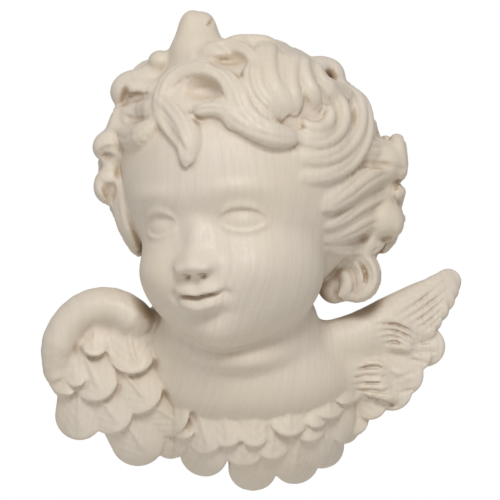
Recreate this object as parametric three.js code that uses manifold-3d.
import * as THREE from 'three';
import { MarchingCubes } from 'three/addons/objects/MarchingCubes.js';
import { mergeVertices } from 'three/addons/utils/BufferGeometryUtils.js';
import Module from 'manifold-3d';

// A winged cherub head carved from one block of pale maple, made to hang on a wall. X runs to the
// viewer's right, Z up, and the flat back lies in the plane Y = 0, so that the face looks towards -Y.

const wasm = await Module();
wasm.setup();

// Driving dimensions, in millimetres
const HEIGHT = 200; // from the lowest feather to the top of the tuft
const HANGING_HOLE_DIAMETER = 8; // blind hole in the back that drops over a nail or a hook
const HANGING_HOLE_DEPTH = 16;
const HANGING_HOLE_RISE = 36; // above the origin, so that the head hangs with its weight below the nail

// The figure is laid out in shares of its own height: GRID units make up HEIGHT. The origin is on the
// back, behind the head.
const GRID = 484;
const UNIT = HEIGHT / GRID;

const vec = (x, y, z) => new THREE.Vector3(x, y, z);
const rad = THREE.MathUtils.degToRad;
const lerp = THREE.MathUtils.lerp;
const bell = (x, middle, spread) => Math.exp(-(((x - middle) / spread) ** 2));

// The block: distances to the carved surface, negative in the wood, at the corners of a cubic grid of
// cells

const CELL = 3.2; // in layout units
const BLOCK_WIDTH = 505.6; // round the whole figure, in layout units
const CELLS = Math.round(BLOCK_WIDTH / CELL); // along each side
const BLOCK_MIDDLE = vec(2, -105, -14);
const OUTSIDE = 60;

const block = new MarchingCubes(CELLS, undefined, false, false, 400000);
block.isolation = 0;
block.field.fill(-OUTSIDE);

const cornerOf = (value, middle) => (value - middle) / CELL + CELLS / 2;
const placeOf = (corner, middle) => (corner - CELLS / 2) * CELL + middle;

// Adds a form to the block inside its box, or cuts it out where sign is -1. blend is the width of the
// fillet where it meets what is there already.
function merge(box, distance, blend, sign) {
	const margin = blend + 2 * CELL;
	const range = ['x', 'y', 'z'].map((axis) => [
		Math.max(1, Math.floor(cornerOf(box.min[axis] - margin, BLOCK_MIDDLE[axis]))),
		Math.min(CELLS - 2, Math.ceil(cornerOf(box.max[axis] + margin, BLOCK_MIDDLE[axis]))),
	]);
	const p = vec(0, 0, 0);
	for (let k = range[2][0]; k <= range[2][1]; k++) {
		for (let j = range[1][0]; j <= range[1][1]; j++) {
			for (let i = range[0][0]; i <= range[0][1]; i++) {
				p.set(placeOf(i, BLOCK_MIDDLE.x), placeOf(j, BLOCK_MIDDLE.y), placeOf(k, BLOCK_MIDDLE.z));
				const index = (k * CELLS + j) * CELLS + i;
				const there = -sign * block.field[index];
				const here = distance(p);
				const near = Math.max(blend - Math.abs(there - here), 0) / blend;
				block.field[index] = sign * ((near * near * blend) / 4 - Math.min(there, here));
			}
		}
	}
}

const add = (box, distance, blend) => merge(box, distance, blend, 1);

function ellipsoid(centre, radii, blend, sign = 1) {
	const box = new THREE.Box3(centre.clone().sub(radii), centre.clone().add(radii));
	const scaled = vec(0, 0, 0);
	const slope = vec(0, 0, 0);
	const distance = (p) => {
		scaled.subVectors(p, centre).divide(radii);
		slope.copy(scaled).divide(radii);
		const r = scaled.length();
		return (r * (r - 1)) / Math.max(slope.length(), 1e-6);
	};
	merge(box, distance, blend, sign);
}

// A body of oval section swept along path(share). outward(point) says which way its back faces, and
// girth(share) is its share of full size. root is how many times deeper it goes below its path than it
// stands above it.
function swept({ path, outward, halfWidth, halfThick, girth, blend, steps = 14, root = 1 }) {
	const box = new THREE.Box3();
	const stations = [];
	for (let n = 0; n <= steps; n++) {
		const share = n / steps;
		const p = path(share);
		const tangent = path(Math.min(1, share + 0.01)).sub(path(Math.max(0, share - 0.01))).normalize();
		const side = outward(p).cross(tangent).normalize();
		stations.push({ p, tangent, side, up: tangent.clone().cross(side) });
		box.expandByPoint(p);
	}
	box.expandByScalar(Math.max(halfWidth, halfThick * root));
	const line = new THREE.Line3();
	const nearest = vec(0, 0, 0);
	const best = vec(0, 0, 0);
	add(box, (p) => {
		let least = Infinity;
		let share = 0;
		for (let n = 0; n < steps; n++) {
			line.set(stations[n].p, stations[n + 1].p);
			const along = line.closestPointToPointParameter(p, true);
			line.at(along, nearest);
			const far = nearest.distanceToSquared(p);
			if (far < least) {
				least = far;
				share = (n + along) / steps;
				best.copy(nearest);
			}
		}
		const place = share * steps;
		const n = Math.min(steps - 1, Math.floor(place));
		const a = stations[n];
		const b = stations[n + 1];
		const offset = best.subVectors(p, best);
		const size = Math.max(girth(share), 0.12);
		const s = lerp(offset.dot(a.side), offset.dot(b.side), place - n);
		const u = lerp(offset.dot(a.up), offset.dot(b.up), place - n);
		const w = halfWidth * Math.sqrt(size);
		const h = halfThick * size * (u < 0 ? root : 1);
		const past = Math.sqrt(Math.max(0, offset.lengthSq() - s * s - u * u));
		const q = Math.hypot(s / w, u / h, past / h);
		const slope = Math.hypot(s / (w * w), u / (h * h), past / (h * h));
		return (q * (q - 1)) / Math.max(slope, 1e-6);
	}, blend);
}

// The head: a skull and a fuller lower face, seen from one point inside both, with the features as hills
// and hollows on it

const HEAD = {
	centre: vec(-5, -98, 10),
	turn: 25, // degrees towards the viewer's left
	raise: 3, // degrees that the face looks up
	lean: 4, // degrees that the crown leans towards the viewer's left
};
const SKULL = { middle: vec(0, 2, 44), radii: vec(112, 110, 114) }; // across, forward, up
const JAW = { middle: vec(0, 20, -44), radii: vec(92, 84, 76) };

const FEATURE_HEIGHT = 20; // the most that a feature or the hair stands off the skull and the jaw
const headExtent = ({ middle, radii }) => Math.max(...radii.toArray()) + middle.length() + FEATURE_HEIGHT;
const headBox = new THREE.Box3()
	.setFromCenterAndSize(HEAD.centre, vec(1, 1, 1))
	.expandByScalar(Math.max(headExtent(SKULL), headExtent(JAW)));

const headTurn = new THREE.Matrix4()
	.makeRotationY(-rad(HEAD.lean))
	.multiply(new THREE.Matrix4().makeRotationZ(-rad(HEAD.turn)))
	.multiply(new THREE.Matrix4().makeRotationX(-rad(HEAD.raise)));
const toHead = headTurn.clone().invert();

function reach(direction, { middle, radii }) {
	const d = direction.clone().divide(radii);
	const m = middle.clone().divide(radii);
	const dm = d.dot(m);
	const dd = d.dot(d);
	return (dm + Math.sqrt(dm * dm - dd * (m.dot(m) - 1))) / dd;
}

const hill = (u, v, across, up, spreadAcross, spreadUp = spreadAcross) =>
	bell(u, across, spreadAcross) * bell(v, up, spreadUp);

const EYE = { across: 46, up: 0, halfWidth: 21, arch: 13, sag: 10 };
const NOSE = { tip: -38, base: -48 };
const MOUTH = { up: -69, halfWidth: 27 };

function features(u, v) {
	const a = Math.abs(u);
	const fromCorner = (a - EYE.across) / EYE.halfWidth;
	const lidShare = Math.max(0, 1 - fromCorner * fromCorner);
	const upperLid = EYE.up - 2 + EYE.arch * Math.sqrt(lidShare);
	const lowerLid = EYE.up - 2 - EYE.sag * lidShare;
	const lips = Math.max(0, 1 - (u / MOUTH.halfWidth) ** 2);
	return (
		4 * hill(u, v, 0, 70, 60, 40) + // forehead
		3 * hill(a, v, 44, 27, 28, 9) - // brows
		7 * hill(u, v, 0, 6, 18, 14) -
		11 * hill(a, v, EYE.across - 2, EYE.up + 2, 26, 14) + // eye sockets
		9 * hill(a, v, EYE.across, EYE.up - 1, 17, 10) + // eyeballs
		4 * Math.sqrt(lidShare) * bell(v, upperLid + 3, 3.5) +
		2.5 * Math.sqrt(lidShare) * bell(v, lowerLid - 2, 3.5) +
		9 * hill(a, v, 54, -42, 30, 26) + // cheeks
		8 * hill(u, v, 0, -12, 11, 18) + // bridge of the nose
		21 * hill(u, v, 0, NOSE.tip, 11, 11) +
		10 * hill(a, v, 13, NOSE.tip - 3, 7, 7) - // wings of the nose
		6 * hill(a, v, 7, NOSE.base - 3, 4, 3) +
		7 * hill(u, v, 0, MOUTH.up, 34, 22) + // muzzle
		5 * lips * bell(v, MOUTH.up + 5, 5) - // upper lip
		6 * Math.sqrt(lips) * bell(v, MOUTH.up, 2.6) +
		7 * lips * bell(v, MOUTH.up - 8, 6) - // lower lip
		5 * hill(u, v, 0, -90, 22, 6) +
		13 * hill(u, v, 0, -106, 28, 16) // chin
	);
}

function headSurface(direction) {
	const skull = reach(direction, SKULL);
	const jaw = reach(direction, JAW);
	const blend = 14;
	const near = Math.max(blend - Math.abs(skull - jaw), 0) / blend;
	const base = Math.max(skull, jaw) + (near * near * blend) / 4;
	const front = THREE.MathUtils.smoothstep(direction.y, 0, 0.35);
	return front === 0 ? base : base + front * features(direction.x * base, direction.z * base);
}

function addHead() {
	const slack = 0.9; // the distance to a hilly surface is a little less than the distance along a ray
	const ray = vec(0, 0, 0);
	add(headBox, (p) => {
		ray.subVectors(p, HEAD.centre).applyMatrix4(toHead);
		const far = Math.max(ray.length(), 1e-3);
		const direction = vec(ray.x / far, -ray.y / far, ray.z / far);
		return slack * (far - headSurface(direction));
	}, 8);
}

// Hair

const MASS = { centre: vec(8, -72, 62), radii: vec(130, 106, 128) }; // what the locks are carved on
const BROW = { centre: vec(-5, -98, 54), radii: vec(117, 117, 119) }; // the skull's front, below the crest
const CREST = { centre: vec(0, -92, 90), radii: vec(112, 108, 108) }; // the fuller hair over the forehead
const EDGE_DEPTH = -86; // of the curls that make the outline
const CAP_THICKNESS = 6; // of the hair that lies close on the skull
const CAP_EDGE = 30; // the width over which it thins out towards the hairline
const HAIRLINE = { forward: vec(0, -96, 74), behind: vec(0, -4, -34) }; // on the forehead, and behind the ear
const LOCKS_FROM = vec(8, -85, 62); // the place inside the hair that its side locks face away from

// Behind the crest: centre, radii and blend
const HAIR_FORMS = {
	back: [vec(3, -44, 72), vec(136, 56, 115), 8],
	left_top: [vec(-70, -46, 132), vec(56, 44, 48), 8],
	left: [vec(-100, -40, 92), vec(34, 42, 56), 8],
	left_low: [vec(-122, -44, 84), vec(24, 34, 22), 8],
	left_curl: [vec(-114, -66, 140), vec(18, 24, 17), 5],
	right: [vec(110, -40, 28), vec(36, 38, 56), 8],
	right_upper: [vec(120, -52, 52), vec(30, 44, 44), 8],
	right_low: [vec(104, -48, -22), vec(28, 34, 30), 8],
	right_crest: [vec(140, -66, 72), vec(22, 36, 22), 6],
	right_swell: [vec(140, -66, 15), vec(18, 34, 22), 6],
	behind_ear: [vec(108, -64, -42), vec(22, 26, 22), 5],
	tuft_foot: [vec(-44, -92, 172), vec(34, 38, 24), 8],
	tuft_neck: [vec(-44, -92, 180), vec(27, 26, 18), 8],
	tuft: [vec(-53, -94, 199), vec(15, 24, 26), 6],
	tuft_side: [vec(-40, -96, 200), vec(13, 20, 22), 4],
	lobe_left: [vec(-85, -90, 174), vec(12, 18, 11), 5],
	lobe_right: [vec(73, -88, 167), vec(14, 20, 12), 5],
};

// What the curls close round: centre and radii
const HOLLOWS = {
	forelock: [vec(-46, -166, 150), vec(21, 30, 13)],
	under_forelock: [vec(-43, -203, 129), vec(17, 24, 12)],
	crown: [vec(-15, -160, 172), vec(15, 28, 10)],
	top_right: [vec(85, -100, 158), vec(5, 20, 5)],
	left_curl: [vec(-118, -96, 138), vec(5, 18, 8)],
	left_low: [vec(-135, -96, 79), vec(8, 18, 4)],
	left_knot: [vec(-134, -96, 45), vec(7, 20, 9)],
	right_hook: [vec(143, -96, -5), vec(8, 18, 4)],
};

// A curl is a stretch of a spiral as seen from the front: middle x and z, radius at the root and at the
// tip, bearing at the root and at the tip. A wave has x and z of its root, of the point that it bends
// towards, and of its tip. Both then have half their width, half their thickness, and how far they stand
// off the hair's own surface at the root and at the tip.
const CURLS = {
	forelock_ring: [-46, 132, 35, 34, -32, 212, 12, 12, 2, 3],
	forelock_outer: [-46, 132, 54, 54, 60, 150, 9, 10, -2, -2],
	forelock_tail: [-109, 85, 53, 53, 55, -18, 12, 12, 4, 3],
	forelock_right: [47, 147, 55, 51, 176, 276, 13, 12, 5, 3],
	forelock_inner: [45, 180, 88, 86, 211, 271, 8, 9, 2, 3],
	second_ring: [-16, 160, 27, 27, 175, -15, 9, 11, -2, 4],
	crown_fall: [59, 161, 50, 52, 172, 243, 12, 12, 3, 3],
	temple_eye: [71, 117, 12, 13, 50, -160, 7, 9, 4, 4],
	temple_first: [71, 117, 25, 26, 60, -140, 11, 10, 4, 0],
	temple_second: [71, 117, 40, 43, 50, -119, 11, 12, 3, -5],
	temple_third: [71, 117, 47, 61, 35, -103, 11, 13, 1, -6],
	temple_upper: [71, 117, 28, 36, 85, 15, 12, 11, 0, 0],
};
const WAVES = {
	tail_right: [-60, 117, -42, 105, -57, 76, 12, 9, 1, 2],
	tail_left: [-87, 123, -77, 103, -59, 85, 5, 7, 1, 2],
	crown_top: [-17, 184, 5, 194, 37, 181, 13, 12, 0, 0],
	crown_lobe: [23, 191, 17, 150, 41, 120, 14, 12, 0, 5],
	crown_second: [47, 179, 39, 145, 50, 120, 13, 12, 0, 4],
	crown_side: [55, 175, 55, 147, 73, 127, 12, 12, 2, 4],
	crown_back: [67, 169, 69, 147, 92, 135, 12, 11, 0, 0],
	right_big: [114, 82, 148, 88, 148, 60, 12, 11, 0, 0],
	right_first: [150, 72, 115, 57, 78, 27, 15, 12, 0, -5],
	right_middle: [142, 44, 110, 30, 82, 8, 9, 10, -4, -5],
	right_second: [150, 24, 120, 20, 82, -4, 14, 11, 0, -5],
	over_ear: [138, -8, 112, -14, 82, -12, 9, 10, 0, -4],
};
const SIDE_WAVES = {
	left_lobe: [-127, 118, -112, 78, -90, 112, 12, 11, 4, 8],
	left_inner: [-88, 144, -102, 142, -118, 130, 11, 10, -2, -2],
};
const EDGE_CURLS = {
	top_right: [81, 158, 13, 11, 190, -60, 8, 12, 0, 0],
	right_small: [107, 104, 15, 14, 60, -50, 10, 12, 0, 0],
	right_hook: [142, 12, 8, 8, 80, -80, 9, 14, 0, 0],
	hood: [107, -43, 27, 18, 133, -110, 8, 16, 0, -6],
	left_curl: [-112, 141, 15, 12, 30, 232, 10, 14, 0, 0],
	left_low: [-136, 88, 9, 8, 30, 250, 8, 13, 0, 0],
	left_knot: [-131, 48, 13, 12, 62, 262, 8, 13, 0, 0],
};
const EDGE_WAVES = {
	left_link: [-127, 100, -117, 85, -130, 67, 9, 14, 0, 0],
	left_temple: [-128, 67, -130, 30, -106, -20, 10, 12, 0, -8],
	left_strand: [-121, 58, -125, 20, -107, -13, 7, 12, 8, 0],
};
const LOCK_ROOT = 1.8;
const LOCK_BLEND = 5;

function depthOf(x, z, { centre, radii }) {
	const inside = 1 - ((x - centre.x) / radii.x) ** 2 - ((z - centre.z) / radii.z) ** 2;
	return centre.y - radii.y * Math.sign(inside) * Math.sqrt(Math.abs(inside));
}

const edgeDepth = () => EDGE_DEPTH;
const hairDepth = (x, z) => Math.min(EDGE_DEPTH, ...[MASS, BROW, CREST].map((form) => depthOf(x, z, form)));
const AROUND = [[0, 0], [10, 0], [-10, 0], [0, 10], [0, -10]]; // where the depth is averaged
const softDepth = (x, z) => AROUND.reduce((sum, [a, b]) => sum + hairDepth(x + a, z + b), 0) / AROUND.length;

const facing = (x, z) => () => vec(x, -1, z).normalize();
const awayFromHead = (p) => p.clone().sub(LOCKS_FROM).normalize();
const offTheHair = (p) => awayFromHead(p).add(vec(0, -0.8, 0)).normalize();

function addHairMass() {
	const rise = HAIRLINE.forward.clone().sub(HAIRLINE.behind).normalize();
	const upwards = vec(0, rise.z, -rise.y); // square to the hairline, towards the crown
	const ray = vec(0, 0, 0);
	const scaled = vec(0, 0, 0);
	add(headBox, (p) => {
		ray.subVectors(p, HEAD.centre).applyMatrix4(toHead);
		const below = upwards.dot(HAIRLINE.behind) - upwards.dot(ray);
		const thinning = CAP_THICKNESS * THREE.MathUtils.clamp(1 + below / CAP_EDGE, 0, 1);
		const far = Math.max(ray.length(), 1e-3);
		const direction = vec(ray.x / far, -ray.y / far, ray.z / far);
		const cap = far - reach(direction, SKULL) - CAP_THICKNESS;
		const crest = (scaled.subVectors(p, CREST.centre).divide(CREST.radii).length() - 1) * CREST.radii.y;
		return Math.max(below, Math.min(cap, crest) + thinning);
	}, 5);
	ellipsoid(MASS.centre, MASS.radii, 4);
	Object.values(HAIR_FORMS).forEach(([centre, radii, blend]) => ellipsoid(centre, radii, blend));
}

const lockGirth = (share) => Math.min(1, 1.25 * Math.sin(Math.PI * share ** 0.8) ** 0.6);

function spiral([x, z, rootRadius, tipRadius, rootBearing, tipBearing], share) {
	const bearing = rad(lerp(rootBearing, tipBearing, share));
	const radius = lerp(rootRadius, tipRadius, share);
	return [x + radius * Math.cos(bearing), z + radius * Math.sin(bearing)];
}

function bend([x0, z0, x1, z1, x2, z2], share) {
	const [a, b, c] = [(1 - share) ** 2, 2 * share * (1 - share), share ** 2];
	return [a * x0 + b * x1 + c * x2, a * z0 + b * z1 + c * z2];
}

function addLocks(locks, place, depth, outward) {
	Object.values(locks).forEach((lock) => {
		const [halfWidth, halfThick, rootLift, tipLift] = lock.slice(6);
		const path = (share) => {
			const [x, z] = place(lock, share);
			return vec(x, depth(x, z) - lerp(rootLift, tipLift, share), z);
		};
		swept({ path, outward, halfWidth, halfThick, girth: lockGirth, blend: LOCK_BLEND, root: LOCK_ROOT });
	});
}

function addHair() {
	addHairMass();
	addSideLocks();
	Object.values(HOLLOWS).forEach(([centre, radii]) => ellipsoid(centre, radii, 5, -1));
	addLocks(EDGE_CURLS, spiral, edgeDepth, facing(0, 0));
	addLocks(EDGE_WAVES, bend, edgeDepth, facing(0, 0));
	addLocks(CURLS, spiral, softDepth, offTheHair);
	addLocks(WAVES, bend, softDepth, offTheHair);
	addLocks(SIDE_WAVES, bend, softDepth, awayFromHead);
}

// Behind the outline the same curls go on, in rows round the sides and the crown, back to the wall
const SIDE_ROWS = { depths: [-78, -56, -35, -14], firstBearing: -33, lastBearing: 208, count: 13 };
const SIDE_CURL = { across: 15, deep: 12, halfWidth: 11, halfThick: 9, sink: 5, turns: [-60, 200] };

// How far the wood reaches from a point inside the hair, in the direction given
function reachOfWood(from, direction) {
	const [furthest, nearest, step] = [190, 40, 2];
	const p = vec(0, 0, 0);
	for (let far = furthest; far > nearest; far -= step) {
		p.copy(from).addScaledVector(direction, far);
		const [i, j, k] = ['x', 'y', 'z'].map((axis) => Math.round(cornerOf(p[axis], BLOCK_MIDDLE[axis])));
		const onGrid = Math.min(i, j, k) >= 0 && Math.max(i, j, k) < CELLS;
		if (onGrid && block.field[(k * CELLS + j) * CELLS + i] > 0) return far;
	}
	return nearest;
}

function addSideLocks() {
	SIDE_ROWS.depths.forEach((depth, row) => {
		const paths = [];
		for (let i = 0; i < SIDE_ROWS.count; i++) {
			const place = (i + 0.5 * (row % 2)) / (SIDE_ROWS.count - 0.5);
			const bearing = rad(lerp(SIDE_ROWS.firstBearing, SIDE_ROWS.lastBearing, place));
			const out = vec(Math.cos(bearing), 0, Math.sin(bearing));
			const along = vec(-out.z, 0, out.x);
			const from = MASS.centre.clone().setY(depth);
			const middle = from.clone().addScaledVector(out, reachOfWood(from, out) - SIDE_CURL.sink);
			const hand = (i + row) % 2 ? 1 : -1;
			paths.push((share) => {
				const turn = rad(lerp(...SIDE_CURL.turns, share)) * hand;
				return middle
					.clone()
					.addScaledVector(along, SIDE_CURL.across * Math.cos(turn))
					.add(vec(0, SIDE_CURL.deep * Math.sin(turn), 0));
			});
		}
		paths.forEach((path) => {
			const { halfWidth, halfThick } = SIDE_CURL;
			swept({ path, outward: awayFromHead, halfWidth, halfThick, girth: lockGirth, blend: 3 });
		});
	});
}

// Neck, chest, the arms of the wings, and the wood behind the feathers

function addBody() {
	ellipsoid(vec(-125, -4, -138), vec(58, 46, 54), 8);
	ellipsoid(vec(10, -4, -180), vec(100, 60, 50), 8);
	ellipsoid(vec(118, -4, -132), vec(60, 42, 44), 8);
	ellipsoid(vec(8, -44, -144), vec(102, 82, 58), 16); // chest
	ellipsoid(vec(-68, -44, -110), vec(36, 34, 42), 16); // left shoulder
	ellipsoid(vec(-6, -74, -92), vec(80, 68, 62), 24); // neck
	const foldPath = (share) => {
		const bearing = rad(lerp(215, 325, share));
		return vec(-6 + 78 * Math.cos(bearing), -96 + 36 * Math.sin(bearing), -84 + 38 * Math.sin(bearing));
	};
	const foldGirth = (share) => Math.sin(Math.PI * share) ** 1.2;
	const fold = { path: foldPath, outward: facing(0, -0.4), girth: foldGirth };
	swept({ ...fold, halfWidth: 12, halfThick: 13, blend: 16 });
}

// Each feather: x and z of its tip, the heading it points in, its length and half its width
const LEFT_FEATHERS = [
	[-95, -227, -58, 70, 25],
	[-70, -223, -70, 40, 14],
	[-168, -204, -92, 62, 22],
	[-124, -194, -56, 62, 21],
	[-62, -191, -34, 62, 21],
	[-182, -159, -98, 34, 12],
	[-193, -142, -104, 30, 9],
	[-169, -150, -84, 40, 11],
	[-143, -163, -68, 60, 22],
	[-94, -172, -52, 62, 25],
	[-152, -119, -95, 30, 13],
	[-108, -136, -76, 50, 23],
];
const RIGHT_FEATHERS = [
	[190, -94, 8, 70, 9],
	[196, -84, 14, 80, 9],
	[203, -73, 18, 88, 9],
	[209, -62, 22, 94, 9],
	[213, -52, 25, 100, 9],
	[215, -42, 29, 104, 11],
	[199, -116, -12, 56, 18],
	[184, -128, -30, 46, 13],
	[176, -148, -22, 64, 19],
	[160, -170, -48, 56, 18],
	[133, -182, -62, 44, 15],
	[112, -200, -72, 44, 15],
	[103, -208, -78, 36, 12],
	[136, -160, -26, 40, 11],
];
const BREAST_FEATHERS = [
	[-34, -240, -70, 60, 22],
	[10, -256, -84, 64, 22],
	[48, -249, -98, 60, 21],
	[82, -233, -80, 54, 19],
	[0, -230, -86, 44, 20],
	[27, -223, -92, 40, 16],
	[-36, -217, -74, 46, 16],
	[-61, -203, -84, 26, 10],
	[-17, -210, -84, 40, 16],
	[9, -210, -92, 40, 14],
	[45, -199, -88, 38, 19],
	[68, -205, -78, 32, 13],
	[72, -191, -84, 34, 10],
	[86, -182, -84, 34, 15],
	[103, -168, -80, 34, 12],
];

function frontOf(x, z, { centre, radii }) {
	const inside = 1 - ((x - centre.x) / radii.x) ** 2 - ((z - centre.z) / radii.z) ** 2;
	return centre.y - radii.y * Math.sqrt(Math.max(0.02, inside));
}

// The feathers lie on these swells of the wings and the breast, each with its tip lifted over the next
// feather's root
const SWELLS = [
	{ centre: vec(-118, -8, -118), radii: vec(104, 76, 122) },
	{ centre: vec(110, -6, -100), radii: vec(125, 52, 118) },
	{ centre: vec(12, -6, -160), radii: vec(112, 96, 100) },
];
const TIP_LIFT = 9;
const DOME = 3;
const RIM = 2.5; // what the rounding of its edge would take from each feather's outline

function addFeather([x, z, heading, length, halfWidth]) {
	const along = vec(Math.cos(rad(heading)), 0, Math.sin(rad(heading)));
	const tip = vec(x, 0, z);
	const root = tip.clone().addScaledVector(along, -length);
	const straight = length - halfWidth; // the round end begins here
	const box = new THREE.Box3().setFromPoints([tip, root]);
	box.expandByScalar(halfWidth);
	box.min.y = -130;
	box.max.y = 0;
	add(box, (p) => {
		const t = (p.x - root.x) * along.x + (p.z - root.z) * along.z;
		const s = (p.x - root.x) * along.z - (p.z - root.z) * along.x;
		const nearest = THREE.MathUtils.clamp(t, 0, straight);
		const outline = Math.hypot(s, t - nearest) - halfWidth * lerp(0.8, 1, nearest / straight) - RIM;
		const swell = Math.min(...SWELLS.map((form) => frontOf(p.x, p.z, form)));
		const share = THREE.MathUtils.clamp(t / length, 0, 1);
		const front = swell - TIP_LIFT * share ** 2 - DOME * (1 - (s / halfWidth) ** 2);
		const ahead = 0.85 * (front - p.y);
		const beside = outline + 0.25 * Math.max(0, p.y - front - 8);
		const near = Math.max(3 - Math.abs(ahead - beside), 0) / 3;
		return Math.max(ahead, beside) + (near * near * 3) / 4;
	}, 1);
}

// Two tufts of coverts that curl over below the right wing's arm: x and z of each strand's root, of the
// point that it bends towards and of its tip
const COVERTS = [
	[110, -92, 152, -70, 181, -109],
	[118, -100, 152, -84, 179, -112],
	[130, -107, 153, -96, 176, -115],
	[140, -114, 156, -107, 172, -117],
	[98, -141, 128, -120, 149, -140],
	[98, -147, 126, -134, 148, -145],
	[102, -153, 128, -146, 152, -154],
	[106, -158, 132, -157, 160, -168],
];

function addCovert(strand) {
	const path = (share) => {
		const [x, z] = bend(strand, share);
		return vec(x, lerp(-55, -47, share) - 5 * Math.sin(Math.PI * share), z);
	};
	swept({ path, outward: facing(0, 0), halfWidth: 7, halfThick: 12, girth: lockGirth, blend: 3 });
}

function addWings() {
	[...LEFT_FEATHERS, ...RIGHT_FEATHERS, ...BREAST_FEATHERS].forEach(addFeather);
	const leftArm = (share) => {
		const bearing = rad(lerp(30, 205, share));
		return vec(-141 + 48 * Math.cos(bearing), lerp(-80, -60, share), -130 + 59 * Math.sin(bearing));
	};
	const leftGirth = (share) => Math.min(1, 1.5 * Math.sin(Math.PI * share ** 0.72) ** 0.75);
	swept({ path: leftArm, outward: facing(0, 0), halfWidth: 19, halfThick: 26, girth: leftGirth, blend: 8 });
	const rightArm = (share) =>
		vec(
			lerp(40, 192, share),
			lerp(-62, -34, share),
			lerp(-116, -58, share) - 14 * Math.sin(Math.PI * share),
		);
	const rightGirth = (share) => Math.min(1, 1.25 * Math.sin(Math.PI * share ** 0.7) ** 0.5);
	swept({ path: rightArm, outward: facing(0, 0), halfWidth: 24, halfThick: 24, girth: rightGirth, blend: 12 });
	COVERTS.forEach(addCovert);
}

// Facets: the carved surface as triangles, thinned where it is nearly flat

const FACETS = 9200;

function carvedSurface() {
	const clearance = CELL / 50; // no corner lies so near the surface that two of its points fall together
	block.field.forEach((value, i) => {
		if (Math.abs(value) < clearance) block.field[i] = value < 0 ? -clearance : clearance;
	});
	block.update();
	const geometry = new THREE.BufferGeometry();
	const found = block.positionArray.slice(0, block.count * 3);
	geometry.setAttribute('position', new THREE.BufferAttribute(found, 3));
	const welded = mergeVertices(geometry, 1e-6);
	const half = (CELL * CELLS) / 2;
	const position = welded.attributes.position;
	for (let i = 0; i < position.count; i++) {
		position.setXYZ(
			i,
			(position.getX(i) * half + BLOCK_MIDDLE.x) * UNIT,
			(position.getY(i) * half + BLOCK_MIDDLE.y) * UNIT,
			(position.getZ(i) * half + BLOCK_MIDDLE.z) * UNIT,
		);
	}
	return { points: Float64Array.from(position.array), faces: outerSkin(welded.index.array, position.count) };
}

// Small hollows closed in between locks are solid wood in the carving, so only the largest connected
// skin is kept
function outerSkin(index, count) {
	const parent = Int32Array.from({ length: count }, (_, i) => i);
	const find = (i) => {
		while (parent[i] !== i) {
			parent[i] = parent[parent[i]];
			i = parent[i];
		}
		return i;
	};
	for (let f = 0; f < index.length; f += 3) {
		parent[find(index[f + 1])] = find(index[f]);
		parent[find(index[f + 2])] = find(index[f]);
	}
	const sizes = new Map();
	for (let f = 0; f < index.length; f += 3) {
		const root = find(index[f]);
		sizes.set(root, (sizes.get(root) ?? 0) + 1);
	}
	const largest = [...sizes].reduce((a, b) => (b[1] > a[1] ? b : a))[0];
	const faces = [];
	for (let f = 0; f < index.length; f += 3) {
		if (find(index[f]) === largest) faces.push([index[f], index[f + 1], index[f + 2]]);
	}
	return faces;
}

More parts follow.
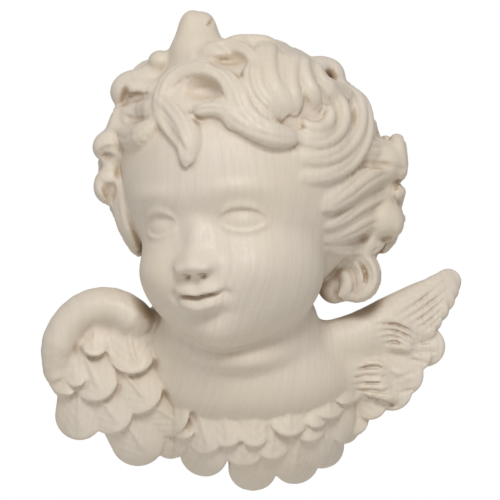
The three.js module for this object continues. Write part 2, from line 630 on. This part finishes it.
// Collapses the edges that cost the least in shape, by summed squared distances to the planes of the
// faces, until few are left
function thinned({ points, faces }, target) {
	const count = points.length / 3;
	const around = Array.from({ length: count }, () => new Set());
	faces.forEach((face, f) => face.forEach((v) => around[v].add(f)));
	const planes = new Float64Array(count * 10);
	const a = vec(0, 0, 0), b = vec(0, 0, 0), c = vec(0, 0, 0);
	const at = (v, into) => into.set(points[3 * v], points[3 * v + 1], points[3 * v + 2]);
	const normalOf = (p, q, r) => q.clone().sub(p).cross(r.clone().sub(p));
	for (const [i, j, k] of faces) {
		const n = normalOf(at(i, a), at(j, b), at(k, c));
		const area = n.length() / 2;
		if (area < 1e-12) continue;
		n.normalize();
		const row = [n.x, n.y, n.z, -n.dot(a)];
		for (const v of [i, j, k]) {
			let slot = v * 10;
			for (let r = 0; r < 4; r++) {
				for (let s = r; s < 4; s++) planes[slot++] += row[r] * row[s] * area;
			}
		}
	}
	const error = (u, v, p) => {
		const q = (slot) => planes[u * 10 + slot] + planes[v * 10 + slot];
		return (
			q(0) * p.x * p.x + 2 * q(1) * p.x * p.y + 2 * q(2) * p.x * p.z + 2 * q(3) * p.x +
			q(4) * p.y * p.y + 2 * q(5) * p.y * p.z + 2 * q(6) * p.y +
			q(7) * p.z * p.z + 2 * q(8) * p.z + q(9)
		);
	};
	const candidate = (u, v) => {
		const q = (slot) => planes[u * 10 + slot] + planes[v * 10 + slot];
		const from = at(u, vec(0, 0, 0));
		const to = at(v, vec(0, 0, 0));
		const options = [from, to, from.clone().lerp(to, 0.5)];
		const matrix = new THREE.Matrix3().set(q(0), q(1), q(2), q(1), q(4), q(5), q(2), q(5), q(7));
		if (Math.abs(matrix.determinant()) > 1e-9) {
			const best = vec(-q(3), -q(6), -q(8)).applyMatrix3(matrix.invert());
			if (best.distanceTo(options[2]) < 2 * from.distanceTo(to)) options.push(best);
		}
		let place = options[0];
		let cost = Infinity;
		for (const p of options) {
			const e = error(u, v, p);
			if (e < cost) {
				cost = e;
				place = p;
			}
		}
		const evenness = 2e-4 * from.distanceToSquared(to);
		return { cost: Math.max(cost, 0) + evenness, u, v, place, stamp: stamps[u] + stamps[v] };
	};
	const stamps = new Int32Array(count);
	const heap = [];
	const push = (item) => {
		let i = heap.push(item) - 1;
		while (i > 0) {
			const up = (i - 1) >> 1;
			if (heap[up].cost <= item.cost) break;
			heap[i] = heap[up];
			i = up;
		}
		heap[i] = item;
	};
	const pop = () => {
		const top = heap[0];
		const last = heap.pop();
		if (heap.length) {
			let i = 0;
			for (;;) {
				let child = 2 * i + 1;
				if (child >= heap.length) break;
				if (child + 1 < heap.length && heap[child + 1].cost < heap[child].cost) child++;
				if (heap[child].cost >= last.cost) break;
				heap[i] = heap[child];
				i = child;
			}
			heap[i] = last;
		}
		return top;
	};
	const neighbours = (v) => {
		const found = new Set();
		for (const f of around[v]) faces[f].forEach((w) => w !== v && found.add(w));
		return found;
	};
	for (let v = 0; v < count; v++) {
		for (const w of neighbours(v)) if (w > v) push(candidate(v, w));
	}
	const turnsOver = (v, other, place) => {
		for (const f of around[v]) {
			const face = faces[f];
			if (face.includes(other)) continue;
			const before = normalOf(at(face[0], a), at(face[1], b), at(face[2], c));
			const corners = face.map((w) => (w === v ? place : at(w, vec(0, 0, 0))));
			const after = normalOf(...corners);
			const turned = after.dot(before) < 0.35 * after.length() * before.length();
			if (turned || after.lengthSq() < 1e-10) return true;
		}
		return false;
	};
	let left = faces.length;
	while (left > target && heap.length) {
		const { u, v, place, stamp } = pop();
		if (!around[u].size || !around[v].size || stamp !== stamps[u] + stamps[v]) continue;
		const beside = neighbours(u);
		if (!beside.has(v)) continue;
		const shared = [...neighbours(v)].filter((w) => beside.has(w));
		const dying = [...around[u]].filter((f) => faces[f].includes(v));
		if (shared.length !== 2 || dying.length !== 2) continue;
		if (turnsOver(u, v, place) || turnsOver(v, u, place)) continue;
		points.set([place.x, place.y, place.z], 3 * u);
		for (let slot = 0; slot < 10; slot++) planes[u * 10 + slot] += planes[v * 10 + slot];
		for (const f of dying) faces[f].forEach((w) => around[w].delete(f));
		for (const f of around[v]) {
			faces[f] = faces[f].map((w) => (w === v ? u : w));
			around[u].add(f);
		}
		around[v].clear();
		left -= 2;
		const ring = neighbours(u);
		stamps[u] += 1e4 + 1;
		for (const w of ring) push(candidate(u, w));
	}
	const kept = new Set();
	around.forEach((set) => set.forEach((f) => kept.add(f)));
	return { points, faces: [...kept].map((f) => faces[f]) };
}

function solidOf(points, faces) {
	const numbers = new Map();
	const kept = [];
	const triangles = faces.flat().map((v) => {
		if (!numbers.has(v)) {
			numbers.set(v, numbers.size);
			kept.push(points[3 * v], points[3 * v + 1], points[3 * v + 2]);
		}
		return numbers.get(v);
	});
	return new wasm.Manifold(
		new wasm.Mesh({
			numProp: 3,
			vertProperties: Float32Array.from(kept),
			triVerts: Uint32Array.from(triangles),
		}),
	);
}

function solid(geometry) {
	geometry.deleteAttribute('normal');
	geometry.deleteAttribute('uv');
	const merged = mergeVertices(geometry, 1e-4);
	return solidOf(merged.attributes.position.array, [...merged.index.array]);
}

function addEar() {
	const path = (share) => {
		const bearing = rad(lerp(150, -80, share));
		return vec(93 + 8 * Math.cos(bearing), -82, -44 + 15 * Math.sin(bearing));
	};
	ellipsoid(vec(90, -64, -48), vec(18, 20, 21), 8);
	swept({ path, outward: facing(0.5, 0), halfWidth: 5, halfThick: 6, girth: lockGirth, blend: 3 });
}

function carving() {
	addBody();
	addWings();
	addHead();
	addEar();
	addHair();
	const { points, faces } = thinned(carvedSurface(), FACETS);
	const carved = solidOf(points, faces);

	const wide = 2 * HEIGHT;
	const wall = solid(new THREE.BoxGeometry(wide, wide, wide).translate(0, wide / 2, 0));
	const radius = HANGING_HOLE_DIAMETER / 2;
	const hole = solid(
		new THREE.CylinderGeometry(radius, radius, 2 * HANGING_HOLE_DEPTH, 24).translate(0, 0, HANGING_HOLE_RISE),
	);
	return carved.subtract(wall).subtract(hole);
}

function meshOf(shape, name, material) {
	const { numProp, vertProperties, triVerts } = shape.getMesh();
	const geometry = new THREE.BufferGeometry();
	geometry.setAttribute('position', new THREE.BufferAttribute(vertProperties, numProp));
	geometry.setIndex(new THREE.BufferAttribute(triVerts, 1));
	geometry.computeVertexNormals();
	const mesh = new THREE.Mesh(geometry, material);
	mesh.name = name;
	return mesh;
}

const maple = new THREE.MeshStandardMaterial({ color: 0xddd0ba, roughness: 0.55, metalness: 0 });

const part = new THREE.Group();
part.add(meshOf(carving(), 'cherub_head', maple));

export default part;
